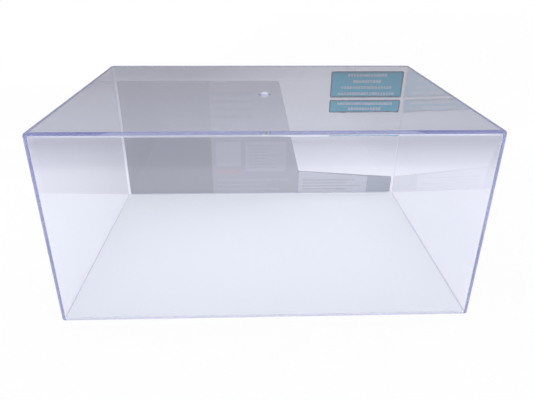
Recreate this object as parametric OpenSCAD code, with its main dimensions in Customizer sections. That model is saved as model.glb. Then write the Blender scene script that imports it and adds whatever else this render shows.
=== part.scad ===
// Clear display case for a small model car: a one-piece moulded cover that stands over a thin
// base plate, with one printed label and two small coloured labels stuck to its rear wall.
// Sizes are in millimetres. +X is to the right, the front faces -Y and +Z is up. The origin is
// on the table, under the middle of the case.

/* [Cover] */
// Width of the cover at its rim, left to right
cover_w = 190; // [160:1:260]
// Depth of the cover at its rim, front to back
cover_d = 132; // [90:1:180]
// Height of the cover
cover_h = 89.5; // [70:0.5:130]
// Thickness of the walls and the top
wall = 1.8; // [1.2:0.1:3]
// Lean of the walls from upright, in degrees, which lets the moulding leave its mould
draft = 0.9; // [0:0.1:2]
// Radius of the upright edges, outside
corner_r = 2.4; // [1:0.1:6]
// Radius of the edge round the top, outside
edge_r = 1.8; // [1:0.1:5]
// Radius of the inside edges
inner_r = 0.4; // [0.2:0.1:4]

/* [Gate stub] */
// Diameter of the foot of the stub on the top, where the plastic entered the mould
stub_foot_d = 6; // [3:0.5:10]
// Diameter of the stub's broken-off tip
stub_tip_d = 1.6; // [0.8:0.1:2.4]
// Height of the stub above the top
stub_h = 1.3; // [0.3:0.1:3]
// Distance of the stub in front of the middle of the top
stub_forward = 8; // [0:0.5:20]

/* [Base plate] */
// Thickness of the base plate
plate_t = 0.5; // [0.3:0.1:3]
// Clearance between the base plate and the cover's walls, all round
plate_gap = 0.4; // [0.2:0.1:1]

/* [Labels] */
// Thickness of each label
label_t = 0.12; // [0.08:0.01:0.3]
// Radius of the labels' corners
label_r = 1; // [0.2:0.1:2]
// Bare strip between a label and the start of the rounded upright edge beside it
label_side_gap = 0.2; // [0.1:0.1:4]

/* [Rear label] */
// Height of the rear label's lower edge above the rim
rear_label_foot = 0.3; // [0.2:0.1:6]
// Bare height between the rear label and the top of the cover
rear_label_top_gap = 11.2; // [4:0.1:20]
// Width of the bare window beside the rear label, at the label's top
window_top_w = 80; // [60:0.5:110]
// Width of the bare window at its foot, above the strip
window_foot_w = 65; // [50:0.5:100]
// Height of the strip under the window, at its inner end
strip_inner_h = 17; // [8:0.1:24]
// Height of the strip under the window, at the right-hand end
strip_outer_h = 12.1; // [6:0.1:24]

/* [Coloured labels] */
// Width of both coloured labels
teal_w = 46.5; // [20:0.5:48]
// Height of the upper coloured label
upper_teal_h = 16.8; // [8:0.1:20]
// Height of the lower coloured label
lower_teal_h = 8.4; // [4:0.1:12]
// Gap between the two coloured labels
teal_gap = 1.6; // [0.5:0.1:4]
// Bare height between the upper coloured label and the top of the cover
teal_top_gap = 5.2; // [5:0.1:12]

/* [Hidden] */
// Smoothness of the round stub
$fn = 48;
// Steps in the arc of each rounded edge or corner
arc_steps = 8;
// How far the cutter of the hollow reaches below the rim
below_rim = 1;
// How far a wall leans in for each millimetre of height
lean = tan(draft);
// Level thickness of a leaning wall
wall_run = wall / cos(draft);
// Least corner radius of a block's flat top, where the upright edges run out
tip_r = 0.2;
// Depth to which the stub is rooted in the top
stub_root = wall / 2;
// Half the size of the base plate, clear of the walls up to its upper face
plate_half_w = cover_w / 2 - wall_run - plate_t * lean - plate_gap;
plate_half_d = cover_d / 2 - wall_run - plate_t * lean - plate_gap;
// The rear wall's slanted height, and half the flat width that a label may cover at its top
rear_slant_h = cover_h / cos(draft);
top_half_w = label_half_w(rear_slant_h);
// Heights of the rear label's upper edges along the rear wall
strip_end = rear_label_foot + strip_outer_h;
rear_label_top = rear_slant_h - rear_label_top_gap;
// Heights of the coloured labels' edges along the rear wall
upper_teal_foot = rear_slant_h - teal_top_gap - upper_teal_h;
lower_teal_foot = upper_teal_foot - teal_gap - lower_teal_h;

function unit(v) = v / norm(v);

// Half the flat width of the rear wall that a label may cover, at a height along the wall
function label_half_w(height) = cover_w / 2 - height * sin(draft) - corner_r - label_side_gap;

// One level of a block: a rectangle of half sizes hw and hd with corners of radius r
function level(hw, hd, r, z) = [
    for (corner = [0:3], step = [0:arc_steps])
        let (a = 90 * (corner + step / arc_steps),
             side_x = (corner == 0 || corner == 3) ? 1 : -1,
             side_y = (corner < 2) ? 1 : -1)
        [side_x * (hw - r) + r * cos(a), side_y * (hd - r) + r * sin(a), z]
];

// Levels of a block whose sides lean in by the draft and round over to a flat top
function block_levels(hw, hd, foot, top, corner, edge) =
    let (centre_z = top - edge,
         centre_in = centre_z * lean + edge / cos(draft))
    concat(
        [level(hw - foot * lean, hd - foot * lean, corner, foot)],
        [for (step = [0:arc_steps])
            let (a = draft + (90 - draft) * step / arc_steps,
                 z = centre_z + edge * sin(a),
                 inset = centre_in - edge * cos(a),
                 r = max(corner - inset + z * lean, tip_r))
            level(hw - inset, hd - inset, r, z)]
    );

// A polygon with each corner rounded to radius r
function rounded(points, r) =
    let (n = len(points))
    [for (i = [0:n - 1])
        let (p = points[i],
             to_last = unit(points[(i + n - 1) % n] - p),
             to_next = unit(points[(i + 1) % n] - p),
             half = acos(to_last * to_next) / 2,
             centre = p + unit(to_last + to_next) * r / sin(half),
             from = p + to_last * r / tan(half) - centre,
             to = p + to_next * r / tan(half) - centre,
             start = atan2(from[1], from[0]),
             sweep = (atan2(to[1], to[0]) - start + 540) % 360 - 180)
        for (step = [0:arc_steps])
            let (a = start + sweep * step / arc_steps)
            centre + r * [cos(a), sin(a)]];

function rectangle(x0, y0, x1, y1) = [[x0, y0], [x1, y0], [x1, y1], [x0, y1]];

module drafted_block(hw, hd, foot, top, corner, edge) {
    levels = block_levels(hw, hd, foot, top, corner, edge);
    n = len(levels[0]);
    last = len(levels) - 1;
    sides = [
        for (k = [0:last - 1], i = [0:n - 1])
            let (j = (i + 1) % n, low = k * n, high = low + n)
            each [[low + i, high + i, high + j], [low + i, high + j, low + j]]
    ];
    floor_face = [for (i = [0:n - 1]) i];
    top_face = [for (i = [n - 1:-1:0]) last * n + i];
    polyhedron([for (ring = levels) each ring], concat([floor_face, top_face], sides), convexity = 4);
}

// Places a flat outline on the rear wall's outer face: x as seen from the front, y up the slope
module on_rear_wall() {
    translate([0, cover_d / 2, 0])
        rotate([90 + draft, 0, 0])
            translate([0, 0, -label_t])
                linear_extrude(label_t)
                    children();
}

module clear_cover() {
    color([0.86, 0.88, 0.95, 0.4]) {
        difference() {
            drafted_block(cover_w / 2, cover_d / 2, 0, cover_h, corner_r, edge_r);
            drafted_block(cover_w / 2 - wall_run, cover_d / 2 - wall_run, -below_rim,
                          cover_h - wall, inner_r, inner_r);
        }
        translate([0, -stub_forward, cover_h - stub_root])
            cylinder(h = stub_root, d = stub_foot_d);
        translate([0, -stub_forward, cover_h])
            cylinder(h = stub_h, d1 = stub_foot_d, d2 = stub_tip_d);
    }
}

module base_plate() {
    color([0.95, 0.95, 0.96])
        linear_extrude(plate_t)
            polygon(rounded(rectangle(-plate_half_w, -plate_half_d, plate_half_w, plate_half_d),
                            inner_r));
}

module rear_label() {
    color([0.64, 0.64, 0.70])
        on_rear_wall()
            polygon(rounded([
                [-label_half_w(rear_label_foot), rear_label_foot],
                [label_half_w(rear_label_foot), rear_label_foot],
                [label_half_w(strip_end), strip_end],
                [top_half_w - window_foot_w, rear_label_foot + strip_inner_h],
                [top_half_w - window_top_w, rear_label_top],
                [-label_half_w(rear_label_top), rear_label_top]
            ], label_r));
}

module teal_label(foot, height) {
    color([0.36, 0.58, 0.66])
        on_rear_wall()
            polygon(rounded(rectangle(top_half_w - teal_w, foot, top_half_w, foot + height), label_r));
}

module upper_teal_label() {
    teal_label(upper_teal_foot, upper_teal_h);
}

module lower_teal_label() {
    teal_label(lower_teal_foot, lower_teal_h);
}

clear_cover();
base_plate();
rear_label();
upper_teal_label();
lower_teal_label();
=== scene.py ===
"""Looks of a clear display case for a small model car.

A one-piece clear cover stands over a thin white base plate. One large printed film and two small teal
films are stuck to the outside of the cover's rear wall, so from the front they show through the case.
Sizes are in metres, mostly written in millimetres times MM. +X is to the right, the front faces -Y and
+Z is up.
"""

import logging
import math
from dataclasses import dataclass, field
from enum import Enum
from typing import Sequence

import bpy
from bpy.types import ID, Material, Mesh, Node, NodeSocket, NodeTree, Object
from mathutils import Euler, Matrix, Vector
from mathutils.geometry import tessellate_polygon


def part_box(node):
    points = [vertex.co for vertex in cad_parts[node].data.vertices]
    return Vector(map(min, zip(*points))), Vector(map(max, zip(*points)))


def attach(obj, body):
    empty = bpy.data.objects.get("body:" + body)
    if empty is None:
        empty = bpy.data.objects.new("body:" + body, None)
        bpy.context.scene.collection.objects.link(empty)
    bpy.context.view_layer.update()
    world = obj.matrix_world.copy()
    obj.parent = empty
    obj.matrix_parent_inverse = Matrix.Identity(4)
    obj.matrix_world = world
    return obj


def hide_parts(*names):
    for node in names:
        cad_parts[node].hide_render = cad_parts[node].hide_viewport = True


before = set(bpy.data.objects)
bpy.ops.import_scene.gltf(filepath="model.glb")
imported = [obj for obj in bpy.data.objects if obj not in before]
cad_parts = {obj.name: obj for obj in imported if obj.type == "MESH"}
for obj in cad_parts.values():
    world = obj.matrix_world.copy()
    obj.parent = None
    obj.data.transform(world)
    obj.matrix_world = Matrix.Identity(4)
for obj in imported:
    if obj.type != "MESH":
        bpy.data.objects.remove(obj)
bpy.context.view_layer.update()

MM = 0.001
LOG = logging.getLogger("display_case")
# Light that the walls guide to their edges is reflected many times before it leaves the plastic
GUIDED_BOUNCES = 256
UP = Vector((0.0, 0.0, 1.0))
DOWN = Vector((0.0, 0.0, -1.0))

Colour = tuple[float, float, float]
Point = tuple[float, float]
Stops = tuple[tuple[float, float], ...]


class Body(Enum):
    """The moving bodies of the case."""

    BASE = "base"
    COVER = "cover"


class Slot(Enum):
    """The record's material slots."""

    CLEAR = "clear_plastic"
    BASE = "base_white"
    REAR = "rear_print"
    TEAL = "teal_print"


class Side(Enum):
    """The faces of a film, as indices of its materials."""

    INSIDE = 0
    OUTSIDE = 1
    EDGE = 2


class Align(Enum):
    """How a block's rows of dashes line up."""

    LEFT = False
    CENTRE = True


class NodePen:
    """Draws nodes and links in one node tree."""

    def __init__(self, tree: NodeTree) -> None:
        """Takes the tree to draw in."""
        self.tree = tree

    def node(self, kind: str, values: dict | None = None, **settings: object) -> Node:
        """Adds a node.

        Args:
            kind: Blender's name of the node type.
            values: values for input sockets, by name.
            **settings: the node's own properties.

        Returns:
            The new node.
        """
        made = self.tree.nodes.new(kind)
        for name, value in settings.items():
            setattr(made, name, value)
        for name, value in (values or {}).items():
            self.entry(made, name).default_value = value
        return made

    def entry(self, node: Node, name: str) -> NodeSocket:
        """Returns the enabled input socket of that name."""
        return next(s for s in node.inputs if s.enabled and s.name == name)

    def exit(self, node: Node, name: str) -> NodeSocket:
        """Returns the enabled output socket of that name."""
        return next(s for s in node.outputs if s.enabled and s.name == name)

    def join(self, source: NodeSocket, target: Node, into: str) -> None:
        """Links an output socket to a node's input of that name."""
        self.tree.links.new(source, self.entry(target, into))

    def link(self, source: Node, out: str, target: Node, into: str) -> None:
        """Links an output to an input, both by socket name."""
        self.join(self.exit(source, out), target, into)

    def math(self, operation: str, *terms: object) -> NodeSocket:
        """Adds a Math node.

        Args:
            operation: Blender's name of the operation.
            *terms: numbers or sockets, one for each input in order.

        Returns:
            The node's output socket.
        """
        made = self.node("ShaderNodeMath", operation=operation)
        for place, term in enumerate(terms):
            if isinstance(term, NodeSocket):
                self.tree.links.new(term, made.inputs[place])
            else:
                made.inputs[place].default_value = term
        return made.outputs[0]

    def spread(
        self, value: NodeSocket, low: float, high: float, full: float = 1.0, smooth: bool = False
    ) -> NodeSocket:
        """Maps a stretch of values to the range from 0 to full, and holds it there beyond its ends.

        Args:
            value: the value to map.
            low: the value that gives 0.
            high: the value that gives full.
            full: the most that comes out.
            smooth: whether the change starts and ends gently.

        Returns:
            The mapped value.
        """
        made = self.node("ShaderNodeMapRange", {"From Min": low, "From Max": high, "To Max": full})
        made.interpolation_type = "SMOOTHSTEP" if smooth else "LINEAR"
        self.join(value, made, "Value")
        return self.exit(made, "Result")

    def blend(self, share: NodeSocket, first: object, second: object) -> NodeSocket:
        """Mixes two colours.

        Args:
            share: how much there is of the second, from 0 to 1.
            first: a colour or a colour socket.
            second: a colour or a colour socket.

        Returns:
            The mixed colour.
        """
        made = self.node("ShaderNodeMix", data_type="RGBA")
        self.join(share, made, "Factor")
        for name, colour in (("A", first), ("B", second)):
            if isinstance(colour, NodeSocket):
                self.join(colour, made, name)
            else:
                self.entry(made, name).default_value = (*colour, 1.0)
        return self.exit(made, "Result")

    def ramp(self, place: NodeSocket, stops: Sequence[tuple[float, Colour]]) -> NodeSocket:
        """Adds a colour ramp.

        Args:
            place: the place along the ramp, from 0 to 1.
            stops: the place and the colour of each stop, in order.

        Returns:
            The colour at the place.
        """
        made = self.node("ShaderNodeValToRGB")
        elements = made.color_ramp.elements
        while len(elements) < len(stops):
            elements.new(0.5)
        for element, (position, colour) in zip(elements, stops):
            element.position = position
            element.color = (*colour, 1.0)
        self.join(place, made, "Fac")
        return self.exit(made, "Color")

    def split(self, space: str) -> Node:
        """Adds texture coordinates of one kind, split into X, Y and Z.

        Args:
            space: Blender's name of the coordinates.

        Returns:
            The node that splits them.
        """
        made = self.node("ShaderNodeSeparateXYZ")
        self.link(self.node("ShaderNodeTexCoord"), space, made, "Vector")
        return made

    def mix(self, share: NodeSocket, first: Node, second: Node) -> Node:
        """Mixes two shaders.

        Args:
            share: how much there is of the second, from 0 to 1.
            first: the first shader.
            second: the second shader.

        Returns:
            The mixed shader.
        """
        made = self.node("ShaderNodeMixShader")
        self.join(share, made, "Fac")
        self.tree.links.new(first.outputs[0], made.inputs[1])
        self.tree.links.new(second.outputs[0], made.inputs[2])
        return made

    def plastic_ray(self, path: Node) -> NodeSocket:
        """Returns 1 for a ray that comes through clear plastic or off its gloss, and otherwise 0."""
        through = self.exit(path, "Is Transmission Ray")
        return self.math("MAXIMUM", self.exit(path, "Is Glossy Ray"), through)


def new_group(
    name: str, kind: str, inputs: dict[str, str], outputs: dict[str, str]
) -> tuple[NodeTree, NodePen]:
    """Makes a node group that holds only its sockets.

    Args:
        name: the group's name.
        kind: Blender's name of the tree type.
        inputs: the kind of each input socket, by the socket's name.
        outputs: the kind of each output socket, by the socket's name.

    Returns:
        The group, and a pen that draws in it.
    """
    tree = bpy.data.node_groups.new(name, kind)
    for way, sockets in (("INPUT", inputs), ("OUTPUT", outputs)):
        for socket, value in sockets.items():
            tree.interface.new_socket(socket, in_out=way, socket_type="NodeSocket" + value)
    return tree, NodePen(tree)


def new_material(name: str) -> tuple[Material, NodePen]:
    """Makes an empty node material.

    Args:
        name: the material's name.

    Returns:
        The material, and a pen that draws in its tree.
    """
    material = bpy.data.materials.new(name)
    material.use_nodes = True
    material.node_tree.nodes.clear()
    return material, NodePen(material.node_tree)


class SurfaceMarks:
    """The shader group for what any handled surface shows: grain, smudges and fine scratches."""

    NAME = "surface_marks"
    KINDS = ("Grain", "Smudge", "Scratch")
    GRAIN_NOISE = {"Detail": 4.0, "Roughness": 0.6}
    SMUDGE_NOISE = {"Detail": 3.0, "Roughness": 0.5, "Distortion": 0.8}
    SMUDGE_FROM = 0.48
    SMUDGE_FULL = 0.74
    BEND_NOISE = {"Scale": 22.0, "Detail": 1.0}
    BEND = (0.03, 0.03, 0.03)
    SCRATCH_WIDTH = 0.006

    @classmethod
    def group(cls) -> NodeTree:
        """Returns the group, built on its first use."""
        return bpy.data.node_groups.get(cls.NAME) or cls._build()

    @classmethod
    def _build(cls) -> NodeTree:
        """Builds the group.

        Returns:
            The group.
        """
        scales = {f"{kind} Scale": "Float" for kind in cls.KINDS}
        marks = {kind: "Float" for kind in cls.KINDS}
        tree, pen = new_group(cls.NAME, "ShaderNodeTree", {"Vector": "Vector", **scales}, marks)
        start = pen.node("NodeGroupInput")
        end = pen.node("NodeGroupOutput")

        grain = cls._noise(pen, start, "Grain Scale", cls.GRAIN_NOISE)
        pen.join(grain, end, "Grain")

        smudge = cls._noise(pen, start, "Smudge Scale", cls.SMUDGE_NOISE)
        patch = pen.spread(smudge, cls.SMUDGE_FROM, cls.SMUDGE_FULL, smooth=True)
        pen.join(patch, end, "Smudge")

        bend = pen.node("ShaderNodeTexNoise", cls.BEND_NOISE)
        pen.link(start, "Vector", bend, "Vector")
        shift = pen.node("ShaderNodeVectorMath", operation="MULTIPLY_ADD")
        tree.links.new(pen.exit(bend, "Color"), shift.inputs[0])
        shift.inputs[1].default_value = cls.BEND
        tree.links.new(pen.exit(start, "Vector"), shift.inputs[2])
        cells = pen.node("ShaderNodeTexVoronoi", feature="DISTANCE_TO_EDGE")
        pen.link(shift, "Vector", cells, "Vector")
        pen.link(start, "Scratch Scale", cells, "Scale")
        line = pen.spread(pen.exit(cells, "Distance"), cls.SCRATCH_WIDTH, 0.0)
        pen.join(pen.math("MULTIPLY", line, patch), end, "Scratch")
        return tree

    @staticmethod
    def _noise(pen: NodePen, start: Node, scale: str, look: dict) -> NodeSocket:
        """Adds a noise texture.

        Args:
            pen: draws in the group.
            start: the group's input node.
            scale: name of the input that sets the noise's scale.
            look: the noise's other values.

        Returns:
            The noise.
        """
        noise = pen.node("ShaderNodeTexNoise", look)
        pen.link(start, "Vector", noise, "Vector")
        pen.link(start, scale, noise, "Scale")
        return pen.exit(noise, "Fac")

    @classmethod
    def place(cls, pen: NodePen, smudge: float, scratch: float = 0.0, grain: float = 0.0) -> Node:
        """Places the group in a material, on Object coordinates.

        Args:
            pen: draws in the material's tree.
            smudge: scale of the smudges, in features per metre.
            scratch: scale of the net of scratches, where the material shows it.
            grain: scale of the grain, where the material shows it.

        Returns:
            The group node.
        """
        scales = {"Grain Scale": grain, "Smudge Scale": smudge, "Scratch Scale": scratch}
        marks = pen.node("ShaderNodeGroup", scales, node_tree=cls.group())
        pen.link(pen.node("ShaderNodeTexCoord"), "Object", marks, "Vector")
        return marks


@dataclass(frozen=True)
class ClearPlastic:
    """Polished clear polystyrene, faintly violet in its depth and frosted on its rim, whose darker
    violet tint is painted edge glow and shade.
    """

    name: str = "clear_polystyrene"
    ior: float = 1.59
    colour: Colour = (0.965, 0.97, 1.0)
    depth_tint: Colour = (0.18, 0.24, 0.68)
    density: float = 4.0
    smudge_scale: float = 38.0
    scratch_scale: float = 70.0
    smudged: float = 0.012
    wave_height: float = 0.002 * MM
    # the rim's darker violet tint is painted: the glow of light guided down the walls, and the shade
    # where the rim meets the floor
    rim_painted_tint: Colour = (0.60, 0.64, 0.92)
    rim_frost: float = 0.35
    rim_low: float = 0.1 * MM
    rim_high: float = 0.3 * MM

    def material(self) -> Material:
        """Builds the material. Shadow rays pass straight through, so light reaches what is inside.

        Returns:
            The material.
        """
        material, pen = new_material(self.name)
        marks = SurfaceMarks.place(pen, self.smudge_scale, self.scratch_scale)
        smudge = pen.exit(marks, "Smudge")
        rim = pen.spread(pen.exit(pen.split("Object"), "Z"), self.rim_high, self.rim_low)
        frost = pen.math("MULTIPLY", rim, self.rim_frost)
        gloss = pen.math("MAXIMUM", pen.math("MULTIPLY", smudge, self.smudged), frost)
        bump = pen.node("ShaderNodeBump", {"Distance": self.wave_height})
        pen.join(pen.math("SUBTRACT", smudge, pen.exit(marks, "Scratch")), bump, "Height")
        shader = pen.node("ShaderNodeBsdfPrincipled", {"IOR": self.ior, "Transmission Weight": 1.0})
        # the rim takes its painted tint of edge glow and contact shade
        pen.join(pen.blend(rim, self.colour, self.rim_painted_tint), shader, "Base Color")
        pen.join(gloss, shader, "Roughness")
        pen.link(bump, "Normal", shader, "Normal")
        path = pen.node("ShaderNodeLightPath")
        straight = pen.node("ShaderNodeBsdfTransparent")
        surface = pen.mix(pen.exit(path, "Is Shadow Ray"), shader, straight)
        tint = {"Color": (*self.depth_tint, 1.0), "Density": self.density}
        depth = pen.node("ShaderNodeVolumeAbsorption", tint)
        out = pen.node("ShaderNodeOutputMaterial")
        pen.link(surface, "Shader", out, "Surface")
        pen.link(depth, "Volume", out, "Volume")
        return material


@dataclass(frozen=True)
class Coat:
    """An opaque satin or matt surface with a fine mottle: sheet, film or ink."""

    name: str
    colour: Colour
    mottle: float = 0.08
    roughness: float = 0.45
    smudge_dull: float = 0.14
    smudge_scale: float = 55.0
    grain_scale: float = 1800.0
    relief: float = 0.004 * MM
    relief_share: float = 0.6
    behind: Colour | None = None

    def material(self) -> Material:
        """Returns the material, built on its first use."""
        return bpy.data.materials.get(self.name) or self._build()

    def _build(self) -> Material:
        """Builds the material.

        Returns:
            The material.
        """
        material, pen = new_material(self.name)
        marks = SurfaceMarks.place(pen, self.smudge_scale, grain=self.grain_scale)
        grain = pen.exit(marks, "Grain")
        tone = pen.blend(grain, self._shade(1.0 - self.mottle), self._shade(1.0 + self.mottle))
        gloss = pen.math("MULTIPLY_ADD", pen.exit(marks, "Smudge"), self.smudge_dull, self.roughness)
        bump = pen.node("ShaderNodeBump", {"Strength": self.relief_share, "Distance": self.relief})
        pen.join(grain, bump, "Height")
        shader = pen.node("ShaderNodeBsdfPrincipled")
        pen.join(self._both_sides(pen, tone), shader, "Base Color")
        pen.join(gloss, shader, "Roughness")
        pen.link(bump, "Normal", shader, "Normal")
        pen.link(shader, "BSDF", pen.node("ShaderNodeOutputMaterial"), "Surface")
        return material

    def _shade(self, share: float) -> Colour:
        """Returns the colour times a share, at most white."""
        return tuple(min(part * share, 1.0) for part in self.colour)

    def _both_sides(self, pen: NodePen, face: NodeSocket) -> NodeSocket:
        """Gives the surface its other colour where it is seen from behind, through clear plastic.

        Args:
            pen: draws in the material's tree.
            face: the colour of its face.

        Returns:
            The colour of both sides.
        """
        if self.behind is None:
            return face
        side = pen.node("ShaderNodeNewGeometry")
        return pen.blend(pen.exit(side, "Backfacing"), face, self.behind)


@dataclass(frozen=True)
class ShowThrough(Coat):
    """The back of a film, where its print shows through in pale greys."""

    mottle: float = 0.04


@dataclass(frozen=True)
class Ink(Coat):
    """Satin printing ink on a film."""

    roughness: float = 0.36


@dataclass(frozen=True)
class TealInk(Coat):
    """Satin printing ink on a teal film, a little duller."""

    roughness: float = 0.38


CLEAR = ClearPlastic()
# Painted glint on the gate stub: a pale coat stands in for the stub's bright glint, and its lighter
# back paints the light guided inside the stub.
PAINTED_GLINT = Coat(
    "painted_glint_tip", (0.56, 0.57, 0.60), mottle=0.14, roughness=0.40, relief=0.02 * MM,
    behind=(0.93, 0.94, 0.97),
)
SHEET = Coat("matt_white_sheet", (0.925, 0.955, 0.92), mottle=0.02, roughness=0.62, grain_scale=2600.0)
FILM_EDGE = Coat("film_edge_white", (0.72, 0.72, 0.74))
FILM_BACK = Coat("film_back_grey", (0.565, 0.555, 0.565), mottle=0.05)
GHOST_FIELD = ShowThrough("show_through_field", (0.71, 0.69, 0.70))
GHOST_PANEL = ShowThrough("show_through_panel", (0.79, 0.77, 0.78))
GHOST_PALE = ShowThrough("show_through_pale", (0.93, 0.92, 0.92))
GHOST_DARK = ShowThrough("show_through_dark", (0.62, 0.65, 0.67))
GHOST_RED = ShowThrough("show_through_red", (0.80, 0.64, 0.65))
# The upper fields' show-through greys are print, made paler as painted light: the label's upper part
# looks more strongly lit from above.
GHOST_UPPER_PAINTED_LIGHT = ShowThrough("show_through_upper", (0.90, 0.88, 0.89))
GHOST_BRIGHT_PAINTED_LIGHT = ShowThrough("show_through_bright", (0.98, 0.955, 0.96), mottle=0.02)
PRINT_GROUND = Ink("print_charcoal", (0.085, 0.088, 0.105), mottle=0.10)
INK_SHADE = Ink("print_graphite", (0.13, 0.135, 0.16), mottle=0.10)
INK_FIELD = Ink("print_slate", (0.20, 0.21, 0.25))
INK_MIST = Ink("print_mist", (0.27, 0.28, 0.32))
INK_PALE = Ink("print_pale_grey", (0.66, 0.66, 0.69), mottle=0.06)
INK_DARK = Ink("print_blue_black", (0.05, 0.055, 0.075), mottle=0.10)
INK_RED = Ink("print_dull_red", (0.42, 0.07, 0.06))
TEAL_FIELD = TealInk("print_teal", (0.005, 0.61, 0.79), mottle=0.06)
TEAL_BORDER = TealInk("print_dark_teal", (0.015, 0.06, 0.085))
TEAL_INK = TealInk("print_lavender", (0.90, 0.92, 0.96), mottle=0.05)
TEAL_BACK = Coat("teal_film_back", (0.40, 0.54, 0.58), mottle=0.06, roughness=0.5)


@dataclass
class Ring:
    """A level loop of points with their surface normals."""

    points: list[Vector] = field(default_factory=list)
    normals: list[Vector] = field(default_factory=list)
    indices: list[int] = field(default_factory=list)


def link_object(name: str, data: ID) -> Object:
    """Makes an object and puts it in the scene.

    Args:
        name: the object's name.
        data: its mesh or camera.

    Returns:
        The object, at the origin.
    """
    made = bpy.data.objects.new(name, data)
    bpy.context.scene.collection.objects.link(made)
    return made


@dataclass
class Skin:
    """Collects a mesh, with the true surface normal at each corner of each face."""

    points: list[Vector] = field(default_factory=list)
    faces: list[tuple[int, ...]] = field(default_factory=list)
    normals: list[Vector] = field(default_factory=list)
    materials: list[int] = field(default_factory=list)

    def add_points(self, points: Sequence[Vector]) -> list[int]:
        """Adds points.

        Args:
            points: the points.

        Returns:
            Their indices in the mesh.
        """
        first = len(self.points)
        self.points.extend(points)
        return list(range(first, len(self.points)))

    def face(self, corners: Sequence[int], normals: Sequence[Vector], material: int = 0) -> None:
        """Adds one face.

        Args:
            corners: indices of its points, anticlockwise from outside.
            normals: the surface normal at each corner.
            material: index of its material.
        """
        self.faces.append(tuple(corners))
        self.normals.extend(normals)
        self.materials.append(material)

    def flat(self, corners: Sequence[int], normal: Vector, material: int = 0) -> None:
        """Adds one flat face, with one normal for all its corners."""
        self.face(corners, [normal] * len(corners), material)

    def band(self, low: Ring, high: Ring, outward: bool = True, material: int = 0) -> None:
        """Joins two rings of as many points with a band of faces.

        Args:
            low: the first ring.
            high: the ring above it.
            outward: whether the faces look away from the rings' middle.
            material: index of the faces' material.
        """
        count = len(low.indices)
        for i in range(count):
            j = (i + 1) % count
            loop = [(low, i), (low, j), (high, j), (high, i)]
            if not outward:
                loop.reverse()
            self.face([r.indices[k] for r, k in loop], [r.normals[k] for r, k in loop], material)

    def stack(self, rings: list[Ring], outward: bool = True, plain: int | None = None) -> list[Ring]:
        """Adds rings and joins each to the next.

        Args:
            rings: the rings, in order.
            outward: whether the faces look away from the rings' middle.
            plain: number of bands in the first material before those in the second, or None for all.

        Returns:
            The rings, with their indices.
        """
        for ring in rings:
            ring.indices = self.add_points(ring.points)
        for number, (low, high) in enumerate(zip(rings, rings[1:])):
            self.band(low, high, outward, 0 if plain is None or number < plain else 1)
        return rings

    def to_object(self, name: str, materials: Sequence[Material], smooth: bool = True) -> Object:
        """Makes the object.

        Args:
            name: the object's name.
            materials: its materials, in the order of the faces' indices.
            smooth: whether the faces take the collected normals, or stay flat.

        Returns:
            The object, at the origin and in the scene.
        """
        mesh = bpy.data.meshes.new(name)
        mesh.from_pydata(self.points, [], self.faces)
        mesh.polygons.foreach_set("use_smooth", [smooth] * len(self.faces))
        mesh.polygons.foreach_set("material_index", self.materials)
        for material in materials:
            mesh.materials.append(material)
        if smooth:
            mesh.normals_split_custom_set(self.normals)
        mesh.validate()
        return link_object(name, mesh)


@dataclass(frozen=True)
class MouldedBlock:
    """A moulded skin: sides that lean in, round at the corners, and turn over to a flat top."""

    half_w: float
    half_d: float
    top: float
    corner_r: float
    edge_r: float
    rim_r: float
    draft: float
    hollow: bool
    corner_steps: int = 12
    edge_steps: int = 14
    rim_steps: int = 4
    tip_r: float = 0.2 * MM

    def level(self, inset: float, z: float, corner: float, tilt: float) -> Ring:
        """Makes one ring of the skin.

        Args:
            inset: how far the ring lies inside the block's foot.
            z: its height.
            corner: the radius of its corners.
            tilt: the angle at which the skin's normal rises.

        Returns:
            The ring, anticlockwise from above.
        """
        lean = math.tan(self.draft)
        inside = -1.0 if self.hollow else 1.0
        ring = Ring()
        for turn in range(4):
            side_x = 1.0 if turn in (0, 3) else -1.0
            side_y = 1.0 if turn < 2 else -1.0
            for step in range(self.corner_steps + 1):
                a = math.pi / 2 * (turn + step / self.corner_steps)
                c = math.cos(a)
                s = math.sin(a)
                ring.points.append(Vector((
                    side_x * (self.half_w - inset - corner) + corner * c,
                    side_y * (self.half_d - inset - corner) + corner * s,
                    z,
                )))
                rise = math.sin(tilt) + lean * math.cos(tilt) * (abs(c) + abs(s) - 1.0)
                normal = Vector((math.cos(tilt) * c, math.cos(tilt) * s, rise))
                ring.normals.append(normal.normalized() * inside)
        return ring

    def rings(self) -> list[Ring]:
        """Returns the skin's rings, from the rounded rim to the flat top."""
        return [*self._rim(), *self._edge()]

    def _rim(self) -> list[Ring]:
        """Makes the rings round the rim's small edge radius.

        Returns:
            The rings, from the rim's underside to the start of the wall.
        """
        lean = math.tan(self.draft)
        way = 1.0 if self.hollow else -1.0
        made = []
        for step in range(self.rim_steps + 1):
            tilt = way * math.pi / 2 + (self.draft - way * math.pi / 2) * step / self.rim_steps
            z = self.rim_r * (1.0 - way * math.sin(tilt))
            curl = -way * self.rim_r * (1.0 - math.cos(tilt))
            made.append(self.level(z * lean + curl, z, self.corner_r - curl, tilt))
        return made

    def _edge(self) -> list[Ring]:
        """Makes the rings round the edge of the top.

        Returns:
            The rings, from the end of the wall to the flat top.
        """
        lean = math.tan(self.draft)
        centre_z = self.top - self.edge_r
        centre_in = centre_z * lean + self.edge_r / math.cos(self.draft)
        made = []
        for step in range(self.edge_steps + 1):
            tilt = self.draft + (math.pi / 2 - self.draft) * step / self.edge_steps
            z = centre_z + self.edge_r * math.sin(tilt)
            inset = centre_in - self.edge_r * math.cos(tilt)
            corner = max(self.corner_r - inset + z * lean, self.tip_r)
            made.append(self.level(inset, z, corner, tilt))
        return made


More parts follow.
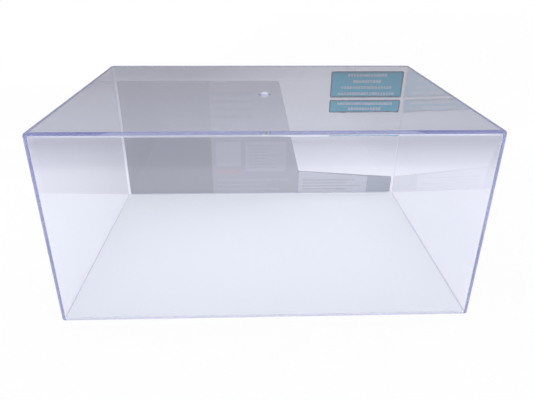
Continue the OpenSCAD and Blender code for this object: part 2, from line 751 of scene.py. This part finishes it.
@dataclass(frozen=True)
class GateStub:
    """The low conical stub where the plastic entered the mould, broken off at its tip, where a pale
    coat paints its glint.

    The flank sags by the fillet, a share of the height. The break has a lip and a dished floor, whose
    radii are shares of the tip's radius.
    """

    foot_r: float = 3.0 * MM
    tip_r: float = 0.8 * MM
    height: float = 1.3 * MM
    forward: float = 8.0 * MM
    fillet: float = 0.06
    lip_share: float = 0.85
    floor_share: float = 0.45
    floor_depth: float = 0.14 * MM
    dish_slope: float = 0.2
    sides: int = 40
    flank_steps: int = 6
    # flank bands left clear below the painted glint
    clear_steps: int = 3

    def rings(self, floor: float) -> list[Ring]:
        """Makes the stub's rings.

        Args:
            floor: height of the surface that the stub stands on.

        Returns:
            The rings, from the foot to the broken tip.
        """
        made = []
        tip = floor + self.height
        run = self.foot_r - self.tip_r
        flank = Vector((self.height, 0.0, run)).normalized()
        for step in range(self.flank_steps + 1):
            u = step / self.flank_steps
            sag = self.fillet * math.sin(math.pi * u)
            made.append(self._circle(self.foot_r - run * u, floor + self.height * (u - sag), flank))
        lip = Vector((self.dish_slope, 0.0, 1.0)).normalized()
        dish = Vector((-self.dish_slope, 0.0, 1.0)).normalized()
        made.append(self._circle(self.tip_r * self.lip_share, tip, lip))
        made.append(self._circle(self.tip_r * self.floor_share, tip - self.floor_depth, dish))
        return made

    def _circle(self, radius: float, z: float, slope: Vector) -> Ring:
        """Makes a level circle round the stub's axis.

        Args:
            radius: its radius.
            z: its height.
            slope: its normal where it crosses +X.

        Returns:
            The circle, anticlockwise from above.
        """
        ring = Ring()
        for i in range(self.sides):
            turn = Matrix.Rotation(2 * math.pi * i / self.sides, 3, "Z")
            ring.points.append(turn @ Vector((radius, 0.0, 0.0)) + Vector((0.0, -self.forward, z)))
            ring.normals.append(turn @ slope)
        return ring


def fit(piece: Object, body: Body, slot: Slot, node: str | None = None) -> None:
    """Puts a finished piece in the assembly and reports it.

    Args:
        piece: the finished object, at the origin.
        body: the body that it moves with.
        slot: the record's slot for the piece, which is only reported.
        node: the solid that it stands for, if any.
    """
    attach(piece, body.value)
    if node:
        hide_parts(node)
    count = len(piece.data.polygons)
    LOG.info("%s: %d faces, on %s, finish %s", piece.name, count, body.value, slot.value)


@dataclass(frozen=True)
class ClearCover:
    """The one-piece clear shell: walls, top, rounded edges and gate stub."""

    wall: float = 1.8 * MM
    draft: float = math.radians(0.9)
    corner_r: float = 2.4 * MM
    edge_r: float = 1.8 * MM
    inner_r: float = 0.4 * MM
    rim_r: float = 0.2 * MM
    stub: GateStub = GateStub()

    @property
    def half_sizes(self) -> Point:
        """Half the width and depth at the rim, from the frame."""
        low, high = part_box("clear_cover")
        return (high.x - low.x) / 2, (high.y - low.y) / 2

    @property
    def top(self) -> float:
        """The height of the flat top, from the frame, without the stub on it."""
        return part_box("clear_cover")[1].z - self.stub.height

    def build(self) -> Object:
        """Builds the shell.

        Returns:
            The shell, at the origin.
        """
        half_w, half_d = self.half_sizes
        run = self.wall / math.cos(self.draft)
        outer = MouldedBlock(
            half_w, half_d, self.top, self.corner_r, self.edge_r, self.rim_r, self.draft, hollow=False
        )
        inner = MouldedBlock(
            half_w - run, half_d - run, self.top - self.wall, self.inner_r, self.inner_r, self.rim_r,
            self.draft, hollow=True,
        )
        skin = Skin()
        outside = skin.stack(outer.rings())
        inside = skin.stack(inner.rings(), outward=False)
        skin.band(inside[0], outside[0])
        skin.flat(list(reversed(inside[-1].indices)), DOWN)
        self._close_top(skin, outside[-1])
        return skin.to_object("clear_shell", [CLEAR.material(), PAINTED_GLINT.material()])

    def _close_top(self, skin: Skin, edge: Ring) -> None:
        """Closes the top with a flat face round the gate stub.

        Args:
            skin: the mesh to close.
            edge: the ring round the flat of the top.
        """
        # the stub's upper flank bands take the painted glint
        stub = skin.stack(self.stub.rings(self.top), plain=self.stub.clear_steps)
        indices = [*edge.indices, *stub[0].indices]
        for triangle in tessellate_polygon([edge.points, stub[0].points]):
            a, b, c = (indices[k] for k in triangle)
            turn = (skin.points[b] - skin.points[a]).cross(skin.points[c] - skin.points[a])
            skin.flat((a, b, c) if turn.z > 0.0 else (a, c, b), UP)
        # the dished tip takes the painted glint
        skin.flat(stub[-1].indices, UP, 1)

    def dress(self) -> None:
        """Builds the cover and fits it."""
        fit(self.build(), Body.COVER, Slot.CLEAR, "clear_cover")


@dataclass(frozen=True)
class BasePlate:
    """The thin white sheet that lies inside the cover's rim."""

    corner_r: float = 0.4 * MM
    edge_r: float = 0.12 * MM
    edge_steps: int = 4

    def build(self) -> Object:
        """Builds the sheet, with softened edges.

        Returns:
            The sheet, at the origin.
        """
        low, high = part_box("base_plate")
        block = MouldedBlock(
            (high.x - low.x) / 2, (high.y - low.y) / 2, high.z, self.corner_r, self.edge_r, self.edge_r,
            draft=0.0, hollow=False, edge_steps=self.edge_steps,
        )
        skin = Skin()
        rings = skin.stack(block.rings())
        skin.flat(list(reversed(rings[0].indices)), DOWN)
        skin.flat(rings[-1].indices, UP)
        return skin.to_object("base_sheet", [SHEET.material()])

    def dress(self) -> None:
        """Builds the sheet and fits it."""
        fit(self.build(), Body.BASE, Slot.BASE, "base_plate")


@dataclass(frozen=True)
class RearWall:
    """The outer face of the rear wall, as a board that leans with the draft."""

    foot_y: float
    draft: float

    def board(self) -> Matrix:
        """Works out the board's place.

        Returns:
            The matrix from (across, up the slope, out) to the case's frame, which mirrors a mesh.
        """
        s = math.sin(self.draft)
        c = math.cos(self.draft)
        return Matrix((
            (1.0, 0.0, 0.0, 0.0),
            (0.0, -s, c, self.foot_y),
            (0.0, c, s, 0.0),
            (0.0, 0.0, 0.0, 1.0),
        ))


def rounded(corners: Sequence[Point], radius: float, steps: int = 6) -> list[Vector]:
    """Rounds the corners of an outline.

    Args:
        corners: the outline's corners, anticlockwise.
        radius: the radius of each corner.
        steps: steps in each arc.

    Returns:
        The points of the rounded outline.
    """
    made = []
    points = [Vector(c) for c in corners]
    for i, point in enumerate(points):
        back = (points[i - 1] - point).normalized()
        ahead = (points[(i + 1) % len(points)] - point).normalized()
        half = back.angle(ahead) / 2
        centre = point + (back + ahead).normalized() * radius / math.sin(half)
        start = point + back * radius / math.tan(half) - centre
        sweep = math.pi - 2 * half
        if back.x * ahead.y - back.y * ahead.x > 0.0:
            sweep = -sweep
        for step in range(steps + 1):
            made.append(centre + Matrix.Rotation(sweep * step / steps, 2) @ start)
    return made


@dataclass(frozen=True)
class Span:
    """A level rectangle on the rear wall's board, measured from the middle of the wall's foot."""

    left: float
    foot: float
    right: float
    top: float

    @classmethod
    def mm(cls, left: float, foot: float, right: float, top: float) -> "Span":
        """Returns the rectangle whose edges are given in millimetres."""
        return cls(left * MM, foot * MM, right * MM, top * MM)

    def corners(self) -> list[Point]:
        """Returns the corners, anticlockwise."""
        low = [(self.left, self.foot), (self.right, self.foot)]
        return [*low, (self.right, self.top), (self.left, self.top)]

    def inset(self, across: float, up: float) -> "Span":
        """Returns the rectangle less a strip on all sides, of one width across and one up."""
        return Span(self.left + across, self.foot + up, self.right - across, self.top - up)


@dataclass(frozen=True)
class Film:
    """A flat film or ink on the rear wall: an outline with an inside and an outside face."""

    outline: list[Vector]
    under: float
    over: float

    def add_to(self, skin: Skin, first: int = 0) -> None:
        """Adds the film to a mesh, flat on the board.

        Args:
            skin: the mesh.
            first: index of the film's first material, which the Side indices count from.
        """
        count = len(self.outline)
        back = skin.add_points([Vector((p.x, p.y, self.under)) for p in self.outline])
        front = skin.add_points([Vector((p.x, p.y, self.over)) for p in self.outline])
        for i in range(count):
            j = (i + 1) % count
            along = self.outline[j] - self.outline[i]
            away = Vector((along.y, -along.x, 0.0)).normalized()
            skin.flat((back[i], back[j], front[j], front[i]), away, first + Side.EDGE.value)
        skin.flat(list(reversed(back)), DOWN, first + Side.INSIDE.value)
        skin.flat(front, UP, first + Side.OUTSIDE.value)


class DashRows:
    """A Geometry Nodes tree that prints rows of short dashes of random length on a board."""

    NAME = "dash_rows"
    INPUTS = {
        "Geometry": "Geometry",
        "Width": "Float",
        "Height": "Float",
        "Dash Height": "Float",
        "Thickness": "Float",
        "Least Fill": "Float",
        "Columns": "Int",
        "Rows": "Int",
        "Seed": "Int",
        "Centred": "Bool",
        "Inside Ink": "Material",
        "Outside Ink": "Material",
    }
    MOST_FILL = 1.05
    DASH_LENGTHS = {"Min": 0.55, "Max": 0.94}
    INWARD_BELOW = -0.5

    @classmethod
    def tree(cls) -> NodeTree:
        """Returns the tree, built on its first use."""
        return bpy.data.node_groups.get(cls.NAME) or cls._build()

    @classmethod
    def _build(cls) -> NodeTree:
        """Builds the tree.

        Returns:
            The tree.
        """
        tree, pen = new_group(cls.NAME, "GeometryNodeTree", cls.INPUTS, {"Geometry": "Geometry"})
        start = pen.node("NodeGroupInput")
        end = pen.node("NodeGroupOutput")
        gaps = pen.math("SUBTRACT", pen.exit(start, "Columns"), 1.0)

        size = pen.node("ShaderNodeCombineXYZ")
        pen.join(pen.math("DIVIDE", pen.exit(start, "Width"), gaps), size, "X")
        pen.link(start, "Dash Height", size, "Y")
        pen.link(start, "Thickness", size, "Z")
        dash = pen.node("GeometryNodeMeshCube")
        pen.link(size, "Vector", dash, "Size")

        length = pen.node("FunctionNodeRandomValue", cls.DASH_LENGTHS, data_type="FLOAT")
        pen.link(start, "Seed", length, "Seed")
        stretch = pen.node("ShaderNodeCombineXYZ", {"Y": 1.0, "Z": 1.0})
        pen.link(length, "Value", stretch, "X")
        print_on = pen.node("GeometryNodeInstanceOnPoints")
        pen.join(cls._filled_rows(pen, start, gaps), print_on, "Points")
        pen.link(dash, "Mesh", print_on, "Instance")
        pen.link(stretch, "Vector", print_on, "Scale")

        real = pen.node("GeometryNodeRealizeInstances")
        pen.link(print_on, "Instances", real, "Geometry")
        outside = pen.node("GeometryNodeSetMaterial")
        pen.link(real, "Geometry", outside, "Geometry")
        pen.link(start, "Outside Ink", outside, "Material")
        facing = pen.node("ShaderNodeSeparateXYZ")
        pen.link(pen.node("GeometryNodeInputNormal"), "Normal", facing, "Vector")
        inside = pen.node("GeometryNodeSetMaterial")
        pen.link(outside, "Geometry", inside, "Geometry")
        pen.join(pen.math("LESS_THAN", pen.exit(facing, "Z"), cls.INWARD_BELOW), inside, "Selection")
        pen.link(start, "Inside Ink", inside, "Material")
        pen.link(inside, "Geometry", end, "Geometry")
        return tree

    @classmethod
    def _filled_rows(cls, pen: NodePen, start: Node, gaps: NodeSocket) -> NodeSocket:
        """Draws the points of a grid, with each row cut off after a random share of its length.

        Args:
            pen: draws in the tree.
            start: the tree's input node.
            gaps: the number of gaps in a row.

        Returns:
            The points that are left.
        """
        grid = pen.node("GeometryNodeMeshGrid")
        pen.link(start, "Width", grid, "Size X")
        pen.link(start, "Height", grid, "Size Y")
        pen.link(start, "Columns", grid, "Vertices X")
        pen.link(start, "Rows", grid, "Vertices Y")

        index = pen.node("GeometryNodeInputIndex").outputs[0]
        row = pen.math("MODULO", index, pen.exit(start, "Rows"))
        column = pen.math("FLOOR", pen.math("DIVIDE", index, pen.exit(start, "Rows")))
        reach = pen.math("DIVIDE", column, gaps)
        from_middle = pen.math("ABSOLUTE", pen.math("MULTIPLY_ADD", reach, 2.0, -1.0))
        measure = pen.node("GeometryNodeSwitch", input_type="FLOAT")
        pen.link(start, "Centred", measure, "Switch")
        pen.join(reach, measure, "False")
        pen.join(from_middle, measure, "True")

        fill = pen.node("FunctionNodeRandomValue", {"Max": cls.MOST_FILL}, data_type="FLOAT")
        pen.link(start, "Least Fill", fill, "Min")
        pen.join(row, fill, "ID")
        pen.link(start, "Seed", fill, "Seed")
        past = pen.math("GREATER_THAN", pen.exit(measure, "Output"), pen.exit(fill, "Value"))
        trim = pen.node("GeometryNodeDeleteGeometry", domain="POINT")
        pen.link(grid, "Mesh", trim, "Geometry")
        pen.join(past, trim, "Selection")
        return pen.exit(trim, "Geometry")


@dataclass(frozen=True)
class DashBlock:
    """One block of dash rows on a label, over a span between the middles of its outer dashes."""

    span: Span
    rows: int
    columns: int
    dash_height: float
    seed: int
    inside: Coat
    outside: Coat
    align: Align = Align.LEFT
    least_fill: float = 0.45

    def mesh(self, under: float, over: float) -> Mesh:
        """Makes the block's mesh, flat on the board.

        Args:
            under: height of the ink's inside face over the wall.
            over: height of its outside face.

        Returns:
            The mesh.
        """
        area = self.span
        carrier = link_object("dash_carrier", bpy.data.meshes.new("dash_carrier"))
        modifier = carrier.modifiers.new("rows", "NODES")
        modifier.node_group = DashRows.tree()
        values = {
            "Width": area.right - area.left,
            "Height": area.top - area.foot,
            "Dash Height": self.dash_height,
            "Thickness": over - under,
            "Least Fill": self.least_fill,
            "Columns": self.columns,
            "Rows": self.rows,
            "Seed": self.seed,
            "Centred": self.align.value,
            "Inside Ink": self.inside.material(),
            "Outside Ink": self.outside.material(),
        }
        for item in modifier.node_group.interface.items_tree:
            if item.in_out == "INPUT" and item.name in values:
                modifier[item.identifier] = values[item.name]
        graph = bpy.context.evaluated_depsgraph_get()
        made = bpy.data.meshes.new_from_object(carrier.evaluated_get(graph))
        carrier.modifiers.remove(modifier)
        bpy.data.objects.remove(carrier)
        middle = Vector(((area.left + area.right) / 2, (area.foot + area.top) / 2, (under + over) / 2))
        made.transform(Matrix.Translation(middle))
        return made


@dataclass(frozen=True)
class Panel:
    """A plain printed panel on a label."""

    corners: list[Point]
    inside: Coat
    outside: Coat
    layer: int = 1
    corner_r: float = 0.8 * MM


@dataclass(frozen=True)
class Label:
    """A printed film with its panels and rows of dashes, in thin layers on the rear wall."""

    node: str
    slot: Slot
    corners: list[Point]
    corner_r: float
    inside: Coat
    outside: Coat
    panels: list[Panel]
    blocks: list[DashBlock]
    under: float = 0.020 * MM
    over: float = 0.100 * MM
    ink: float = 0.005 * MM
    dash_layer: int = 3

    def dress(self, wall: RearWall) -> None:
        """Builds the film and its print on the rear wall and fits them.

        Args:
            wall: the rear wall.
        """
        skin = Skin()
        coats = [self.inside, self.outside, FILM_EDGE]
        Film(rounded(self.corners, self.corner_r), self.under, self.over).add_to(skin)
        for panel in self.panels:
            outline = rounded(panel.corners, panel.corner_r)
            Film(outline, *self._faces(panel.layer)).add_to(skin, len(coats))
            coats += [panel.inside, panel.outside, panel.outside]
        film = skin.to_object(self.node + "_film", [c.material() for c in coats], smooth=False)
        self._hang(film, wall)
        fit(film, Body.COVER, self.slot, self.node)
        for number, block in enumerate(self.blocks, 1):
            dashes = block.mesh(*self._faces(self.dash_layer))
            ink = link_object(f"{self.node}_dashes_{number}", dashes)
            self._hang(ink, wall)
            fit(ink, Body.COVER, self.slot)

    def _faces(self, layer: int) -> Point:
        """Returns the heights of the inside and outside faces of an ink layer."""
        return self.under - layer * self.ink, self.over + layer * self.ink

    def _hang(self, piece: Object, wall: RearWall) -> None:
        """Moves a piece's mesh from the board to the wall, and turns its mirrored faces outwards."""
        piece.data.transform(wall.board())
        piece.data.flip_normals()


@dataclass(frozen=True)
class RearLabels:
    """The three films on the rear wall, laid out on its board from the middle of its foot."""

    cover: ClearCover
    corner_r: float = 1.0 * MM
    side_gap: float = 0.2 * MM
    foot: float = 0.3 * MM
    top_gap: float = 11.2 * MM
    window_top_w: float = 80.0 * MM
    window_foot_w: float = 65.0 * MM
    strip_inner_h: float = 17.0 * MM
    strip_outer_h: float = 12.1 * MM
    seam_x: float = -34.0 * MM
    seam_height: float = 43.5 * MM
    block_x: float = 75.5 * MM
    print_gap: float = 0.15 * MM
    dark_panel: Span = Span.mm(-31.0, 21.0, -14.0, 39.0)
    pale_panel: Span = Span.mm(-11.0, 17.0, 17.0, 39.0)
    red_bar: Span = Span.mm(-31.0, 15.5, -14.0, 18.5)
    head_rows: Span = Span.mm(-29.0, 55.0, -4.0, 70.0)
    panel_rows: Span = Span.mm(-8.0, 20.0, 14.0, 36.0)
    foot_rows: Span = Span.mm(-30.0, 3.5, 22.0, 10.5)
    strip_rows: Span = Span.mm(30.0, 3.0, 70.0, 10.0)
    teal_w: float = 46.5 * MM
    upper_teal_h: float = 16.8 * MM
    lower_teal_h: float = 8.4 * MM
    teal_gap: float = 1.6 * MM
    teal_top_gap: float = 5.2 * MM
    teal_border: float = 0.8 * MM
    teal_row_side: float = 4.0 * MM
    teal_row_foot: float = 2.5 * MM
    teal_columns: int = 22
    teal_dash_h: float = 1.7 * MM

    @property
    def slope_h(self) -> float:
        """The rear wall's height up its slope."""
        return self.cover.top / math.cos(self.cover.draft)

    @property
    def right(self) -> float:
        """The right edge of the teal labels, where the wall is narrowest."""
        return self.side(self.slope_h)

    @property
    def top(self) -> float:
        """The height of the large label's upper edge."""
        return self.slope_h - self.top_gap

    @property
    def window_foot(self) -> Point:
        """The inner corner of the bare window, above the strip."""
        return self.right - self.window_foot_w, self.foot + self.strip_inner_h

    @property
    def strip_outer(self) -> float:
        """The height of the strip's outer end."""
        return self.foot + self.strip_outer_h

    def side(self, height: float) -> float:
        """Returns half the width that a label may cover at a height up the wall, which narrows."""
        flat = self.cover.half_sizes[0] - self.cover.corner_r - self.side_gap
        return flat - height * math.sin(self.cover.draft)

    def rear(self) -> Label:
        """Lays out the large label: a plain dark field, pale panels and rows of dashes.

        Returns:
            The label.
        """
        corners = [
            (-self.side(self.foot), self.foot),
            (self.side(self.foot), self.foot),
            (self.side(self.strip_outer), self.strip_outer),
            self.window_foot,
            (self.right - self.window_top_w, self.top),
            (-self.side(self.top), self.top),
        ]
        panels = [
            *self._fields(),
            Panel(self.dark_panel.corners(), GHOST_PANEL, INK_DARK, layer=2),
            Panel(self.pale_panel.corners(), GHOST_PANEL, INK_PALE, layer=2),
            Panel(self.red_bar.corners(), GHOST_RED, INK_RED, layer=2),
        ]
        blocks = [
            # the head rows' show-through grey is made paler, painted light from above
            DashBlock(
                self.head_rows, rows=4, columns=7, dash_height=2.2 * MM, seed=3,
                inside=GHOST_UPPER_PAINTED_LIGHT, outside=INK_PALE,
            ),
            DashBlock(
                self.panel_rows, rows=8, columns=16, dash_height=0.9 * MM, seed=7,
                inside=GHOST_FIELD, outside=INK_DARK,
            ),
            DashBlock(
                self.foot_rows, rows=3, columns=26, dash_height=1.1 * MM, seed=11,
                inside=GHOST_PANEL, outside=INK_PALE,
            ),
            DashBlock(
                self.strip_rows, rows=4, columns=24, dash_height=0.9 * MM, seed=5,
                inside=GHOST_FIELD, outside=INK_DARK,
            ),
        ]
        return Label(
            "rear_label", Slot.REAR, corners, self.corner_r, FILM_BACK, PRINT_GROUND, panels, blocks
        )

    def _fields(self) -> list[Panel]:
        """Lays out the large label's fields, which meet at two seams and leave a narrow gap there.

        Returns:
            The fields, as panels.
        """
        gap = self.print_gap
        low = self.foot + gap
        high = self.top - gap
        seam = self.seam_x
        step = self.seam_height
        foot_x, strip_inner = self.window_foot
        top_x = self.right - self.window_top_w
        step_x = foot_x + (top_x - foot_x) * (step - strip_inner) / (self.top - strip_inner) - gap
        lower_field = [
            (seam, low),
            (foot_x, low),
            (foot_x - gap, strip_inner),
            (step_x, step),
            (seam, step),
        ]
        upper_field = [
            (seam, step + gap),
            (step_x, step + gap),
            (top_x - gap, high),
            (seam, high),
        ]
        upper_left = [
            (gap - self.side(step), step),
            (seam - gap, step),
            (seam - gap, high),
            (gap - self.side(self.top), high),
        ]
        strip = [
            (foot_x + gap, low),
            (self.block_x - 2 * gap, low),
            (self.block_x - 2 * gap, self.strip_outer + gap),
            (foot_x + gap, strip_inner - 2 * gap),
        ]
        block = [
            (self.block_x, low),
            (self.side(self.foot) - gap, low),
            (self.side(self.strip_outer) - gap, self.strip_outer - gap),
            (self.block_x, self.strip_outer),
        ]
        return [
            Panel(lower_field, GHOST_FIELD, INK_FIELD),
            # the upper fields' show-through greys are made paler, painted light from above
            Panel(upper_field, GHOST_BRIGHT_PAINTED_LIGHT, INK_MIST),
            Panel(upper_left, GHOST_UPPER_PAINTED_LIGHT, INK_SHADE),
            Panel(strip, GHOST_PALE, INK_PALE),
            Panel(block, GHOST_DARK, INK_DARK),
        ]

    def teal(self, node: str, top: float, height: float, rows: int, seed: int) -> Label:
        """Lays out one teal label: a dark border, a teal field and centred rows of pale dashes.

        Args:
            node: the solid that it stands for.
            top: height of its upper edge up the wall.
            height: its own height.
            rows: number of rows of dashes.
            seed: seed of the dashes' lengths.

        Returns:
            The label.
        """
        span = Span(self.right - self.teal_w, top - height, self.right, top)
        inset = span.inset(self.teal_border, self.teal_border)
        field_r = self.corner_r - self.teal_border
        teal_field = Panel(inset.corners(), TEAL_FIELD, TEAL_BACK, corner_r=field_r)
        area = span.inset(self.teal_row_side, self.teal_row_foot)
        dashes = DashBlock(
            area, rows, self.teal_columns, self.teal_dash_h, seed, TEAL_INK, TEAL_BACK, Align.CENTRE
        )
        return Label(
            node, Slot.TEAL, span.corners(), self.corner_r, TEAL_BORDER, TEAL_BACK,
            [teal_field], [dashes],
        )

    def dress(self) -> None:
        """Builds and fits the three labels."""
        wall = RearWall(self.cover.half_sizes[1], self.cover.draft)
        upper_top = self.slope_h - self.teal_top_gap
        lower_top = upper_top - self.upper_teal_h - self.teal_gap
        self.rear().dress(wall)
        self.teal("upper_teal_label", upper_top, self.upper_teal_h, rows=4, seed=21).dress(wall)
        self.teal("lower_teal_label", lower_top, self.lower_teal_h, rows=2, seed=33).dress(wall)


@dataclass(frozen=True)
class Stage:
    """The white floor and the soft light round it.

    The camera sees the floor and the sky as white, and through the plastic it sees their own tones.
    The floor's tones go by the distance behind the case's middle, in millimetres, and the sky's levels
    by the elevation, in degrees. A darker band in the tones just behind the case is a painted shadow of
    the labels, and the floor far in front is dark, which the front wall reflects near its top. The
    floor is darker on the left far behind the case, and on the right nearer to it.
    """

    ZENITH = 90.0

    half_floor: float = 6.0
    drop: float = 0.1 * MM
    left_shade: float = 0.24
    left_from: float = 90.0 * MM
    left_full: float = -90.0 * MM
    right_shade: float = 0.075
    right_from: float = 85.0 * MM
    right_full: float = 125.0 * MM
    far_from: float = 330.0 * MM
    far_full: float = 420.0 * MM
    white_from: float = 0.58
    white_full: float = 0.93
    camera_white: float = 0.88
    plastic_white: float = 0.5
    plastic_sky: float = 0.15
    front_until: float = -0.7
    back_from: float = 0.1
    # Floor tones by distance behind the case's middle, in mm. The dip from 135 to 215 mm is a painted
    # shadow of the labels on the floor behind the case; in front, past about 250 mm, the floor is dark.
    tones: Stops = (
        (-600.0, 0.35),
        (-268.0, 0.42),
        (-248.0, 0.905),
        (90.0, 0.905),
        (135.0, 0.72),
        (172.0, 0.58),
        (215.0, 0.675),
        (300.0, 0.675),
        (420.0, 0.74),
        (520.0, 0.775),
        (1500.0, 0.60),
    )
    back_sky: Stops = (
        (0.0, 0.36),
        (6.0, 0.16),
        (11.0, 0.11),
        (14.0, 0.155),
        (18.0, 0.28),
        (25.0, 0.68),
        (36.0, 1.02),
        (60.0, 1.20),
        (90.0, 1.24),
    )
    front_sky: Stops = (
        (0.0, 1.75),
        (35.0, 1.75),
        (60.0, 1.45),
        (90.0, 1.22),
    )
    front_tint: Colour = (0.90, 0.915, 1.0)
    back_tint: Colour = (0.905, 0.905, 1.02)

    def dress(self) -> None:
        """Builds the floor and the sky."""
        self._floor()
        self._sky()

    def _floor(self) -> None:
        """Lays the floor, which shows white and keeps a soft shadow."""
        material, pen = new_material("white_floor")
        tone = self._floor_tone(pen)
        matt = pen.node("ShaderNodeBsdfDiffuse")
        pen.join(tone, matt, "Color")
        glow = pen.node("ShaderNodeEmission", {"Color": (1.0, 1.0, 1.0, 1.0), "Strength": 1.0})
        path = pen.node("ShaderNodeLightPath")
        pale = pen.spread(tone, self.white_from, self.white_full)
        through = pen.math("MULTIPLY", pen.plastic_ray(path), pale)
        through = pen.math("MULTIPLY", through, self.plastic_white)
        shadow = pen.math("MULTIPLY", pale, 1.0 - self.camera_white)
        direct = pen.math("SUBTRACT", 1.0, shadow)
        direct = pen.math("MULTIPLY", pen.exit(path, "Is Camera Ray"), direct)
        surface = pen.mix(pen.math("MAXIMUM", through, direct), matt, glow)
        pen.link(surface, "Shader", pen.node("ShaderNodeOutputMaterial"), "Surface")

        h = self.half_floor
        mesh = bpy.data.meshes.new("white_floor")
        corners = [(-h, -h, -self.drop), (h, -h, -self.drop), (h, h, -self.drop), (-h, h, -self.drop)]
        mesh.from_pydata(corners, [], [(0, 1, 2, 3)])
        mesh.materials.append(material)
        link_object("white_floor", mesh)

    def _floor_tone(self, pen: NodePen) -> NodeSocket:
        """Draws the floor's tone, with the painted shadow of the labels behind the case.

        Args:
            pen: draws in the floor's tree.

        Returns:
            The tone.
        """
        place = pen.split("Object")
        x = pen.exit(place, "X")
        y = pen.exit(place, "Y")
        first = self.tones[0][0]
        last = self.tones[-1][0]
        stops = [((behind - first) / (last - first), (grey, grey, grey)) for behind, grey in self.tones]
        tone = pen.ramp(pen.spread(y, first * MM, last * MM), stops)
        far = pen.spread(y, self.far_from, self.far_full)
        near = pen.math("SUBTRACT", 1.0, far)
        left = pen.spread(x, self.left_from, self.left_full, self.left_shade)
        right = pen.spread(x, self.right_from, self.right_full, self.right_shade)
        kept = pen.math("SUBTRACT", 1.0, pen.math("MULTIPLY", left, far))
        kept = pen.math("SUBTRACT", kept, pen.math("MULTIPLY", right, near))
        return pen.math("MULTIPLY", tone, kept)

    def _sky(self) -> None:
        """Makes the world: soft light from the front and above, dimmer behind, shown white."""
        world = bpy.data.worlds.new("studio_sky")
        world.use_nodes = True
        world.node_tree.nodes.clear()
        pen = NodePen(world.node_tree)
        place = pen.split("Generated")
        height = pen.math("DIVIDE", pen.math("ARCSINE", pen.exit(place, "Z")), math.pi / 2)
        behind = pen.spread(pen.exit(place, "Y"), self.front_until, self.back_from, smooth=True)
        peak = max(level for _, level in (*self.back_sky, *self.front_sky))
        halves = []
        for sky, tint in ((self.front_sky, self.front_tint), (self.back_sky, self.back_tint)):
            stops = []
            for angle, level in sky:
                stops.append((angle / self.ZENITH, tuple(level / peak * part for part in tint)))
            halves.append(pen.ramp(height, stops))
        path = pen.node("ShaderNodeLightPath")
        through = pen.math("MULTIPLY", pen.plastic_ray(path), self.plastic_sky)
        share = pen.math("MAXIMUM", pen.exit(path, "Is Camera Ray"), through)
        white = (1.0 / peak, 1.0 / peak, 1.0 / peak)
        back = pen.node("ShaderNodeBackground", {"Strength": peak})
        pen.join(pen.blend(share, pen.blend(behind, *halves), white), back, "Color")
        pen.link(back, "Background", pen.node("ShaderNodeOutputWorld"), "Surface")
        bpy.context.scene.world = world


@dataclass(frozen=True)
class ViewPoint:
    """The camera, where the photograph was taken from.

    The turn is in degrees, and the lens and the sensor are in millimetres, as Blender takes them.
    """

    place: tuple[float, float, float] = (-6.476 * MM, -233.904 * MM, 147.479 * MM)
    turn: tuple[float, float, float] = (62.854, -0.304, -1.801)
    lens: float = 31.426
    sensor: float = 36.0
    nearest: float = 10 * MM
    farthest: float = 50.0

    def dress(self) -> None:
        """Makes the camera and gives it to the scene."""
        camera = bpy.data.cameras.new("photo_view")
        camera.lens = self.lens
        camera.sensor_width = self.sensor
        camera.clip_start = self.nearest
        camera.clip_end = self.farthest
        holder = link_object("photo_view", camera)
        holder.location = self.place
        holder.rotation_euler = Euler([math.radians(a) for a in self.turn])
        bpy.context.scene.camera = holder


def main() -> None:
    """Builds the camera, the stage and the case, and reports each piece."""
    logging.basicConfig(level=logging.INFO, format="%(name)s: %(message)s")
    scene = bpy.context.scene
    scene.view_settings.view_transform = "Standard"
    for limit in ("max_bounces", "glossy_bounces", "transmission_bounces"):
        setattr(scene.cycles, limit, GUIDED_BOUNCES)
    ViewPoint().dress()
    Stage().dress()
    cover = ClearCover()
    cover.dress()
    BasePlate().dress()
    RearLabels(cover).dress()


if __name__ == "__main__":
    main()
